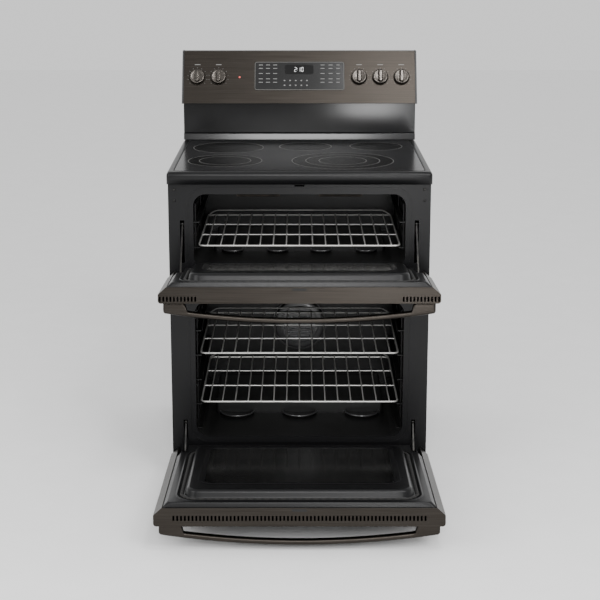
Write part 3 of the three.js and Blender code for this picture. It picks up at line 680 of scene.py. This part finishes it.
@dataclass
class Oven:
    """One oven: cavity, floor cover, heater and the wire guides of its racks."""

    which: str
    levels: int
    scoops: tuple[float, ...]
    scoop_radius: float
    guide_wire: float = 2.2 * MM
    guide_inset: float = 34 * MM
    guide_gap: float = 3.2 * MM
    guide_foot: float = 46 * MM
    rung_inset: float = 8 * MM
    scoop_floor: float = 1.5 * MM
    scoop_rise: float = 5.5 * MM
    rim_wire: float = 2.2 * MM

    def build(self) -> None:
        """Dresses the cavity and adds its guides, bead and floor cover."""
        dress(f"{self.which}_oven_cavity", OVEN_ENAMEL, 0.8 * MM)
        dress(f"{self.which}_broil_element", HEATER)
        OvenMouth(self.which).build()
        self.guides()
        self.floor_cover()

    def guides(self) -> None:
        """Adds a ladder of wires to each side wall: three uprights, and two rungs for each level."""
        mouth = oven_mouth(self.which)
        low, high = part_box(f"{self.which}_oven_cavity")
        front, back = low.y + self.guide_inset, high.y - self.guide_inset
        shells = []
        for side in (-1, 1):
            x = side * (mouth.x1 - self.guide_gap)
            ends = (mouth.z0 + self.guide_foot, mouth.z1 - self.guide_inset)
            for y in (front, (front + back) / 2, back):
                shells.append(tube(np.array([(x, y, ends[0]), (x, y, ends[1])]), self.guide_wire, (0, 1, 0)))
            for z in np.linspace(ends[0] + self.rung_inset, ends[1] - self.rung_inset, 2 * self.levels):
                shells.append(tube(np.array([(x, front, z), (x, back, z)]), self.guide_wire, (0, 0, 1)))
        piece(f"{self.which}_rack_guides", shells, OVEN_ENAMEL, ROOT)

    def floor_cover(self) -> None:
        """Draws the cover as nested rounded rectangles: up its wall, round its edge and over its top.

        Each scoop is a half disc: height rises with the fourth power of the distance from its middle.
        """
        node = f"{self.which}_floor_cover"
        low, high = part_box(node)
        front = low.y + self.scoop_radius
        lid = filleted([(0, 10 * MM, low.z), (0, 10 * MM, high.z), (9 * MM, 6 * MM, high.z),
                        (16 * MM, 6 * MM, high.z - 1.2 * MM), (30 * MM, 6 * MM, high.z - 1.2 * MM)], 4 * MM)
        rows = [(low.x + i, high.x - i, front + i, high.y - i, c, z) for i, c, z in lid]
        shells = [grid_shell(loft(rows, (0, 1, 2)), capped=True).outward()]
        share = np.linspace(0, 1, 9)[:, None]
        angle = np.linspace(math.pi, 2 * math.pi, 25)[None, :]
        for x in self.scoops:
            radius = self.scoop_radius * share
            height = low.z + self.scoop_floor + self.scoop_rise * share ** 4 + 0 * angle
            dish = np.stack([x + radius * np.cos(angle), front + radius * np.sin(angle), height], -1)
            wall = dish[-1:] * (1, 1, 0) + (0, 0, low.z)
            shells.append(grid_shell(np.concatenate([dish, wall]), wrap=False))
        piece(node + "_pressed", shells, OVEN_ENAMEL, ROOT, [node], wall=0.8 * MM)
        # The raised rims are real, but their paler enamel is a painted highlight along each scoop's front.
        arc = np.stack([np.cos(angle[0]), np.sin(angle[0]), 0 * angle[0]], -1) * self.scoop_radius
        level = low.z + self.scoop_floor + self.scoop_rise
        rims = [tube(arc + (x, front, level), self.rim_wire, (0, 0, 1)) for x in self.scoops]
        piece(node + "_scoop_rims", rims, PAINTED_LIGHT_ENAMEL, ROOT)


@dataclass
class Convection:
    """The fan, its dished cover and the rolled rings round it.

    Each ring is (radius, wire, how far ahead of the cover's back), in millimetres.
    """

    rings: tuple[tuple[float, float, float], ...] = ((86, 3.0, 4), (61, 2.0, 21.5))
    around: int = 48

    def build(self) -> None:
        """Dresses the fan and cover and adds the rings."""
        # The cover and its rings take the paler enamel: painted light on the oven's own enamel.
        dress("convection_cover", PAINTED_LIGHT_ENAMEL, 0.8 * MM)
        dress("convection_fan", ZINC)
        low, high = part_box("convection_cover")
        middle = (low + high) / 2
        angle = np.linspace(0, 2 * math.pi, self.around, endpoint=False)
        shells = []
        for radius, wire, ahead in self.rings:
            ring = np.stack([middle.x + radius * MM * np.cos(angle), np.full(self.around, high.y - ahead * MM),
                             middle.z + radius * MM * np.sin(angle)], -1)
            shells.append(tube(ring, wire * MM, (0, 1, 0), 10, looped=True))
        piece("convection_rings", shells, PAINTED_LIGHT_ENAMEL, ROOT)


# ---------------------------------------------------------------- doors
@dataclass
class Leaf:
    """A door's own frame: x as the range's, y into the oven and z up the door, from its hinge axis."""

    joint: str

    def __post_init__(self) -> None:
        """Reads the hinge's place and how far it is open at rest."""
        found = JOINTS[self.joint]
        self.origin = np.array(found["pos_m"], float)
        self.angle = math.radians(found["range_deg"][1])
        self.origin[0] = 0.0

    def place(self, points: np.ndarray) -> np.ndarray:
        """Turns points of the door's frame about the hinge to where the open door stands."""
        c, s = math.cos(self.angle), math.sin(self.angle)
        x, y, z = points[..., 0], points[..., 1], points[..., 2]
        return np.stack([x, y * c - z * s, y * s + z * c], -1) + self.origin

    def box(self, node: str) -> tuple[Vector, Vector]:
        """Gives a node's lowest and highest corners in the door's frame."""
        data = NODES[node].data
        flat = np.empty(3 * len(data.vertices), np.float32)
        data.vertices.foreach_get("co", flat)
        away = flat.reshape(-1, 3).astype(float) - self.origin
        c, s = math.cos(self.angle), math.sin(self.angle)
        local = np.stack([away[:, 0], away[:, 1] * c + away[:, 2] * s, away[:, 2] * c - away[:, 1] * s], -1)
        return Vector(local.min(0)), Vector(local.max(0))


@dataclass
class Door:
    """A drop-down door: steel skin, enamelled liner with a raised plug, window, gasket and handle."""

    which: str
    notch_top: float
    corner: float = MOUTH_CORNER
    gasket_out: float = 11.5 * MM
    gasket_wire: float = 4.4 * MM
    liner_wall: float = 1.2 * MM
    notch_room: float = 11 * MM
    window_rebate: float = 6 * MM
    window_corner: float = 26 * MM

    def build(self) -> None:
        """Builds the door's pieces in its own frame."""
        self.leaf = Leaf(f"{self.which}_door_hinge")
        self.body = f"{self.which}_door"
        dress(f"{self.which}_door_skin", STEEL, 1.2 * MM)
        dress(f"{self.which}_door_glass", WINDOW, 0.6 * MM)
        dress(f"{self.which}_door_window", WINDOW)
        for side in ("left", "right"):
            dress(f"{self.which}_hinge_{side}", ZINC, 0.6 * MM)
            dress(f"{self.which}_stay_{side}", STAY_STEEL, 0.6 * MM)
        low, high = self.leaf.box(f"{self.which}_door_gasket")
        out = self.gasket_out
        self.mouth = Mouth(low.x + out, high.x - out, low.z + out, high.z - out, self.corner)
        self.level = low.y - 0.3 * MM
        self.liner()
        self.gasket()
        self.handle()
        self.latch()

    def around(self, grow: float, level: float, tallest: float = 1.0) -> tuple[float, ...]:
        """Gives the loft row that lies so far outside the oven's mouth, at a level."""
        m = self.mouth
        return (m.x0 - grow, m.x1 + grow, m.z0 - grow, min(m.z1 + grow, tallest), m.corner + max(grow, -20 * MM), level)

    def liner(self) -> None:
        """Draws the liner as nested outlines from its folded edge over a bead and the plug to the window.

        Low in the pan, points past the notch's edge are moved in to it, which leaves room for the stays.
        """
        node = f"{self.which}_door_liner"
        low, high = self.leaf.box(node)
        w_low, w_high = self.leaf.box(f"{self.which}_door_window")
        _, skin_high = self.leaf.box(f"{self.which}_door_skin")
        rim, level, top = skin_high.y, self.level, high.y
        step = level - rim
        r = self.window_rebate

        def window(grow: float, at: float) -> tuple[float, ...]:
            """Gives the loft row so far outside the window's clear opening."""
            return (w_low.x + r - grow, w_high.x - r + grow, w_low.z + r - grow, w_high.z - r + grow,
                    self.window_corner + grow, at)

        head = high.z - 3.5 * MM
        rows = [
            (low.x, high.x, low.z, high.z, 5 * MM, rim - 6 * MM),
            (low.x, high.x, low.z, high.z, 5 * MM, rim),
            (low.x + step, high.x - step, low.z + step, high.z - 3 * MM, 12 * MM, level),
            self.around(23 * MM, level, head),
            self.around(19 * MM, level + 1.8 * MM, head - 0.2 * MM),
            self.around(15 * MM, level, head - 0.4 * MM),
            self.around(12.5 * MM, level - 1 * MM, head - 0.6 * MM),
            self.around(0, level - 1 * MM, head - 0.8 * MM),
            self.around(-3 * MM, level),
            self.around(-7 * MM, top - 4 * MM),
            self.around(-13 * MM, top),
            window(17 * MM, top),
            window(13 * MM, top + 0.8 * MM),
            window(8 * MM, top - 1 * MM),
            window(0, top - 1.6 * MM),
            window(-1 * MM, w_high.y + 0.2 * MM),
        ]
        grid = loft(filleted(rows, 4 * MM, 4), on_arc=10, on_side=30)
        stay_low, stay_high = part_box(f"{self.which}_stay_right")
        inner = (stay_low.x + stay_high.x) / 2 - self.notch_room
        x, z = grid[..., 0], grid[..., 2]
        grid[..., 0] = np.where((z < self.notch_top) & (abs(x) > inner), np.sign(x) * inner, x)
        shell = grid_shell(self.leaf.place(grid))
        piece(node + "_pressed", [shell], ENAMEL, self.body, [node], self.liner_wall)

    def gasket(self) -> None:
        """Carries an oval round the mouth, 7 mm outside it, on the liner."""
        path = self.leaf.place(loft([self.around(7 * MM, self.level + 1.0 * MM)], on_arc=12, on_side=20)[0])
        c, s = math.cos(self.leaf.angle), math.sin(self.leaf.angle)
        shell = tube(path, self.gasket_wire, (0, c, s), 10, looped=True, squash=0.55)
        piece(f"{self.which}_gasket_sleeve", [shell], SLEEVE, self.body, [f"{self.which}_door_gasket"],
              edge=Edge.SOFT)

    def handle(self) -> None:
        """Draws the handle as rounded sections along x.

        Its outer side lies end + (mid - end)(1 - (x/half)^2) out from the door. Its inner side keeps the
        bar's thickness from that, and drops to the door over the mounts by a smooth step.
        """
        node = f"{self.which}_door_handle"
        low, high = self.leaf.box(node)
        half, face = high.x, high.y
        mid = face - low.y
        end, bar, mount = 31 * MM, 15.5 * MM, 61 * MM
        blend, seat, taper = 9 * MM, 0.6 * MM, 5 * MM
        x = half * np.sin(np.linspace(-math.pi / 2, math.pi / 2, 121))
        outer = mid - (mid - end) * (x / half) ** 2
        step = np.clip((abs(x) - (half - mount)) / blend + 0.5, 0, 1)
        step = step * step * (3 - 2 * step)
        inner = (outer - bar) * (1 - step) + seat * step
        shrink = 4 * MM * np.clip((abs(x) - half + taper) / taper, 0, 1) ** 2
        corner = np.minimum(6.5 * MM, (outer - inner) * 0.45) - shrink * 0.5
        rows = np.stack([face - outer + shrink, face - inner, low.z + shrink, high.z - shrink,
                         np.maximum(corner, 1 * MM), x], -1)
        grid = loft(rows, (2, 0, 1), 6, 2)
        shell = grid_shell(self.leaf.place(grid), capped=True).outward()
        piece(node + "_bow", [shell], STEEL, self.body, [node])

    def latch(self) -> None:
        """Adds a near-black plate of painted shade over the latch opening in the middle of the door's top edge."""
        low, high = self.leaf.box(f"{self.which}_door_skin")
        face = high.z
        wide, tall, lip = 19 * MM, 3.2 * MM, 0.5 * MM
        rows = filleted([(wide, tall, 0.0), (wide, tall, lip), (wide - 3 * MM, tall / 2, lip)], 1 * MM)
        y = high.y - 6.5 * MM
        loop = [(-a, a, y - b, y + b, min(1.4 * MM, b * 0.8), face + up) for a, b, up in rows]
        shell = grid_shell(self.leaf.place(loft(loop, (0, 1, 2), 4, 2)), capped=True).outward()
        piece(f"{self.which}_latch_mouth", [shell], SHADOW, self.body)


# ---------------------------------------------------------------- backguard and controls
@dataclass
class Slope:
    """The control face's own frame: x across, up the slope, and out of it."""

    def __post_init__(self) -> None:
        """Reads the lean from a knob's axis and the foot from the fascia."""
        axis = np.array(JOINTS["knob_1_turn"]["axis"], float)
        self.out = axis / np.linalg.norm(axis)
        self.up = np.array([0.0, self.out[2], -self.out[1]])
        low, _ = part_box("control_fascia")
        self.foot = np.array([0.0, low.y, low.z + 1.6 * MM * self.up[1]])

    def place(self, points: np.ndarray) -> np.ndarray:
        """Places points whose second number is the way out and third the way up the slope."""
        x = np.array([1.0, 0.0, 0.0])
        return points[..., :1] * x + points[..., 1:2] * self.out + points[..., 2:] * self.up + self.foot


@dataclass
class Knob:
    """A turned and fluted knob with an upright grip."""

    number: int
    slope: Slope
    radius: float = 25.5 * MM

    def build(self) -> None:
        """Turns the skirt with 36 flutes and lofts the grip over it, about the joint's point."""
        joint = JOINTS[f"knob_{self.number}_turn"]
        centre = np.array(joint["pos_m"], float)
        r = self.radius
        skirt = filleted([(r - 1 * MM, 1 * MM), (r, 1 * MM), (r, 5 * MM), (r - 2.2 * MM, 13.5 * MM),
                          (r - 5 * MM, 15 * MM), (r - 9 * MM, 14 * MM)], 1.5 * MM)
        body = turned(skirt, 144, 0.018, 36)[..., [0, 2, 1]]
        grip_rows = filleted([(7.6, 20.5, 12.0), (7.6, 20.5, 16.0), (6.4, 19.6, 22.0), (4.2, 17.6, 24.0),
                              (1.5, 14.0, 24.0)], 2.0)
        rows = [(-a, a, -b, b, a * 0.9, up) for a, b, up in grip_rows * MM]
        grip = loft(rows, (0, 2, 1), 7, 3)
        shaft = turned([(4 * MM, -1.3 * MM), (4 * MM, 2 * MM)], 16)[..., [0, 2, 1]]
        flat = np.array([centre[0], 0.0, (centre - self.slope.foot) @ self.slope.up])
        shells = [grid_shell(self.slope.place(g + flat), capped=True).outward() for g in (body, grip, shaft)]
        piece(f"knob_{self.number}_turned", shells, KNOB_STEEL, f"knob_{self.number}_body",
              [f"knob_{self.number}"])


@dataclass
class Controls:
    """The sloped panel with its display, legends, lamp and knobs, and the glossy panel under it."""

    digit_tall: float = 15 * MM
    digit_wide: float = 7 * MM
    stroke: float = 1.1 * MM
    digit_level: float = 113 * MM
    window: tuple[float, float, float, float] = (-47 * MM, 45 * MM, 97 * MM, 129 * MM)
    glass_face: float = 0.8 * MM
    glass_half: float = 144 * MM
    glass_bottom: float = 44 * MM
    glass_top: float = 139 * MM
    border_inset: float = 1.4 * MM

    def build(self) -> None:
        """Dresses the backguard's nodes and adds knobs, legends and digits."""
        self.slope = Slope()
        dress("backguard_housing", PLASTIC, 2.0 * MM)
        dress("backsplash_panel", GLOSS_PANEL, 1.2 * MM)
        dress("control_fascia", STEEL, 0.6 * MM)
        dress("display_panel", DISPLAY, 0.4 * MM)
        dress("indicator_lamp", LAMP, 0.4 * MM)
        for number in range(1, 6):
            Knob(number, self.slope).build()
        self.display()
        self.legends()

    def flat(self, x0: float, x1: float, z0: float, z1: float, out: float, thick: float = 0.2 * MM) -> Shell:
        """A thin printed mark on the slope."""
        made = plate(x0, x1, z0, z1, out, out + thick)
        return Shell(self.slope.place(made.points), made.faces).outward()

    def display(self) -> None:
        """Adds the window, its border, and a time in seven-stroke digits."""
        face, inset = self.glass_face, self.border_inset
        half = self.glass_half - inset
        row = (-half, half, self.glass_bottom + inset, self.glass_top - inset, 6 * MM, face)
        border = loft([row], (0, 2, 1))[0]
        ring = tube(self.slope.place(border), 0.6 * MM, self.slope.out, 6, looped=True, squash=0.4)
        piece("display_border", [ring], BORDER, ROOT)
        piece("display_window", [self.flat(*self.window, face)], WINDOW, ROOT)
        digits = self.digits("210", -1 * MM, self.digit_level, face + 0.2 * MM)
        piece("display_digits", digits, DIGITS, ROOT)

    def digits(self, text: str, middle: float, up: float, out: float) -> list[Shell]:
        """Draws each digit from the strokes of a seven-stroke sign, and a colon after the first."""
        strokes = {"0": "abcdef", "1": "bc", "2": "abged"}
        w, h, s = self.digit_wide / 2, self.digit_tall / 2, self.stroke
        bars = {"a": (-w + s, w - s, h - s, h), "d": (-w + s, w - s, -h, -h + s), "g": (-w + s, w - s, -s / 2, s / 2),
                "b": (w - s, w, s / 2, h - s), "c": (w - s, w, -h + s, -s / 2),
                "e": (-w, -w + s, -h + s, -s / 2), "f": (-w, -w + s, s / 2, h - s)}
        pitch = self.digit_wide * 1.35
        colon = middle - 0.62 * pitch
        shells = []
        for place, sign in zip((-1.25, 0.0, 1.05), text):
            x = middle + place * pitch
            shells += [self.flat(x + a, x + b, up + c, up + d, out) for a, b, c, d in (bars[k] for k in strokes[sign])]
        for z in (up - h / 3, up + h / 3):
            shells.append(self.flat(colon - s / 2, colon + s / 2, z - s / 2, z + s / 2, out))
        return shells

    def legends(self) -> None:
        """Prints the key bars beside the display and the short bars and dots round the knobs."""
        out = self.glass_face
        rows = (127 * MM, 115.5 * MM, 98.5 * MM, 80.5 * MM, 69 * MM)
        columns = [(-124, 13), (-101, 13), (-78, 13), (74, 13), (100, 13), (124, 11)]
        shells = [self.flat((x - w / 2) * MM, (x + w / 2) * MM, z, z + 2.2 * MM, out) for x, w in columns for z in rows]
        keys = [(-48, 0), (-30, 0), (-12, 0), (6, 0), (24, 0), (-48, 1), (-30, 1), (-12, 1), (6, 1), (24, 1)]
        shells += [self.flat((x - 2.5) * MM, (x + 2.5) * MM, (74 - 16 * row) * MM, (78 - 16 * row) * MM, out)
                   for x, row in keys]
        piece("display_legends", shells, MARKS, ROOT)
        angles = np.radians(np.arange(-130, 131, 26))
        marks = []
        for number in range(1, 6):
            centre = np.array(JOINTS[f"knob_{number}_turn"]["pos_m"], float)
            up = (centre - self.slope.foot) @ self.slope.up
            x, z = centre[0] + 31 * MM * np.sin(angles), up + 31 * MM * np.cos(angles)
            marks += [self.flat(a - 0.8 * MM, a + 0.8 * MM, b - 0.8 * MM, b + 0.8 * MM, 0.0) for a, b in zip(x, z)]
            marks.append(self.flat(centre[0] - 9 * MM, centre[0] + 9 * MM, up + 41 * MM, up + 43 * MM, 0.0))
        piece("knob_legends", marks, MARKS, ROOT)


# ---------------------------------------------------------------- stage
@dataclass(frozen=True)
class Shot:
    """The camera: a long lens ahead of the doors' plane, turned a little down (tilt in degrees)."""

    lens: float = 85.25
    sensor: float = 36.0
    shift: tuple[float, float] = (0.0009, -0.10)
    tilt: float = 12.53
    height: float = 1.604
    away: float = 3.980
    body_depth: float = 0.655

    def take(self) -> None:
        """Hangs the camera `away` ahead of the cabinet's front, `body_depth` ahead of its back."""
        lens = bpy.data.cameras.new("camera")
        lens.lens, lens.sensor_width = self.lens, self.sensor
        lens.shift_x, lens.shift_y = self.shift
        camera = bpy.data.objects.new("camera", lens)
        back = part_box("backguard_housing")[1].y
        camera.location = (0.0, back - self.body_depth - self.away, self.height)
        camera.rotation_euler = (math.radians(90 - self.tilt), 0.0, 0.0)
        bpy.context.scene.collection.objects.link(camera)
        bpy.context.scene.camera = camera


def stage() -> None:
    """Makes the pale floor, the soft studio light and the camera."""
    floor = bpy.data.meshes.new("floor")
    floor.from_pydata([(-12, -12, 0), (12, -12, 0), (12, 12, 0), (-12, 12, 0)], [], [(0, 1, 2, 3)])
    ground = bpy.data.objects.new("floor", floor)
    bpy.context.scene.collection.objects.link(ground)
    floor.materials.append(Finish("studio_paper_matt", "#f6f6f6", "#f8f8f8", 0.9).material())
    world = bpy.data.worlds.new("studio")
    bpy.context.scene.world = world
    world.use_nodes = True
    sky = world.node_tree.nodes["Background"]
    sky.inputs["Color"].default_value = linear("#ffffff")
    sky.inputs["Strength"].default_value = 1.0
    softbox("key_light", (1.9, -3.2, 3.0), (0.2, 0.0, 0.8), 1.6, 80)
    softbox("fill_light", (-2.6, -2.4, 1.9), (0.0, 0.0, 0.6), 2.0, 50)
    softbox("oven_light", (0.0, -4.4, 2.3), (0.0, 0.2, 0.5), 0.9, 70)
    softbox("panel_strip", (0.62, -1.8, 3.15), (0.33, 0.5, 1.1), 0.35, 22)
    softbox("front_strip", (0.42, -3.0, 0.6), (0.2, 0.5, 0.95), 0.3, 9)
    Shot().take()


def softbox(name: str, place: tuple[float, ...], aim: tuple[float, ...], size: float, power: float) -> None:
    """Hangs a square area light and turns it to a point."""
    light = bpy.data.lights.new(name, "AREA")
    light.size, light.energy = size, power
    hung = bpy.data.objects.new(name, light)
    hung.location = place
    hung.rotation_euler = (Vector(aim) - Vector(place)).to_track_quat("-Z", "Y").to_euler()
    bpy.context.scene.collection.objects.link(hung)


def main() -> None:
    """Builds the sub-assemblies in order, then the stage."""
    logging.basicConfig(level=logging.INFO, format="%(message)s")
    Cabinet().build()
    Cooktop().build()
    Oven("upper", 2, (-203 * MM, -66 * MM, 66 * MM, 203 * MM), 31 * MM).build()
    Oven("lower", 5, (-193 * MM, 0.0, 193 * MM), 52 * MM).build()
    Convection().build()
    for node in ("upper_rack", "lower_rack_high", "lower_rack_low"):
        Rack(node, node + "_body").build()
    for which, notch_top in (("upper", 82 * MM), ("lower", 52 * MM)):
        Door(which, notch_top).build()
    Controls().build()
    stage()


if __name__ == "__main__":
    main()
